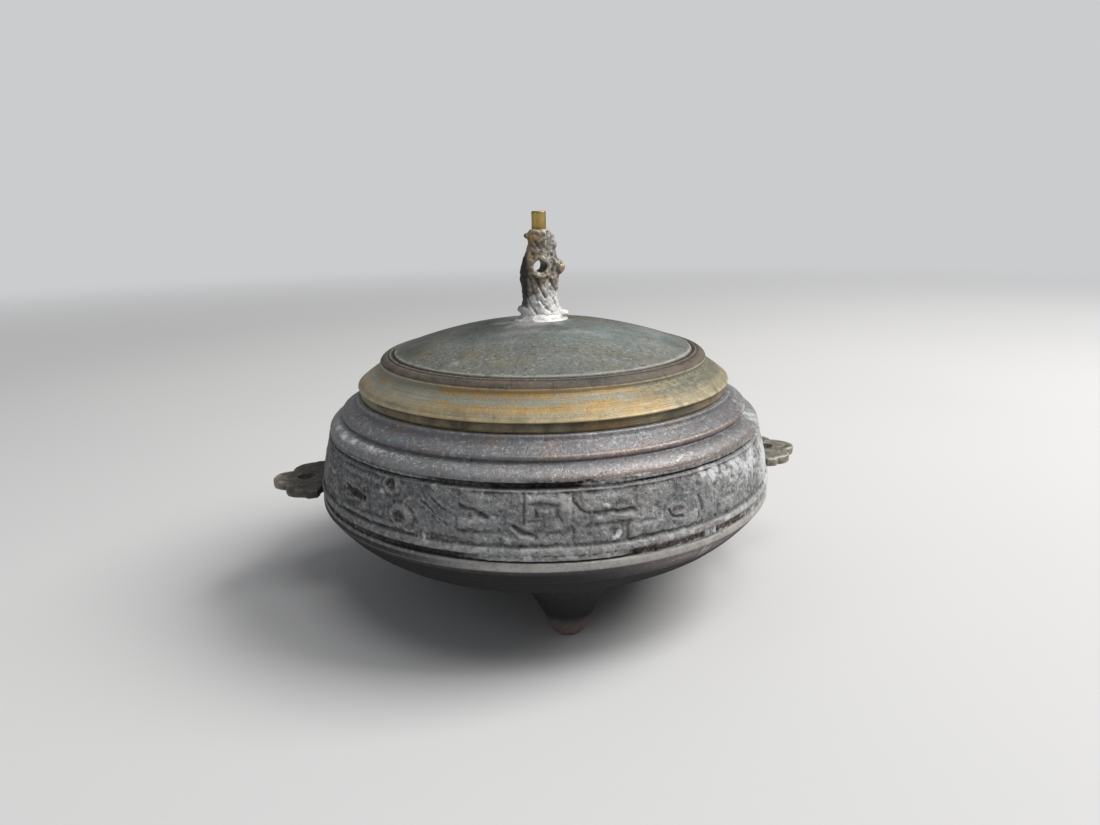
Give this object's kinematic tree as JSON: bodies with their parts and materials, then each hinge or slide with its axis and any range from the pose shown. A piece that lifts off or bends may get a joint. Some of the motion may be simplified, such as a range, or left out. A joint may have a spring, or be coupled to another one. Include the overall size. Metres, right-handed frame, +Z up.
{
  "type": "incense burner",
  "caption": "Round cast bronze incense burner: footed bowl with a relief frieze and pierced side lugs, under a domed lift-off lid with a pierced knop.",
  "frame": {"origin": "on the table, on the bowl's own axis, level with the soles of the three feet", "axes": "+Z up through the knop; +X through the right lug; -Y through the front foot"},
  "size_m": [0.1836, 0.1504, 0.1246],
  "materials": {
    "bowl_bronze": "cast bronze with a dark, purple-grey patina and pale mineral deposits",
    "lug_bronze": "cast bronze, worn grey-tan",
    "lid_bronze": "turned bronze, olive-gold brim and grey-green dome with streaked patina",
    "knop_bronze": "cast bronze with pale solder residue at its base",
    "brass": "bare yellow brass"
  },
  "bodies": {
    "root": {"bowl": "bowl_bronze", "lug_left": "lug_bronze", "lug_right": "lug_bronze", "lid": "lid_bronze", "knop": "knop_bronze", "pin": "brass"}
  },
  "joints": []
}
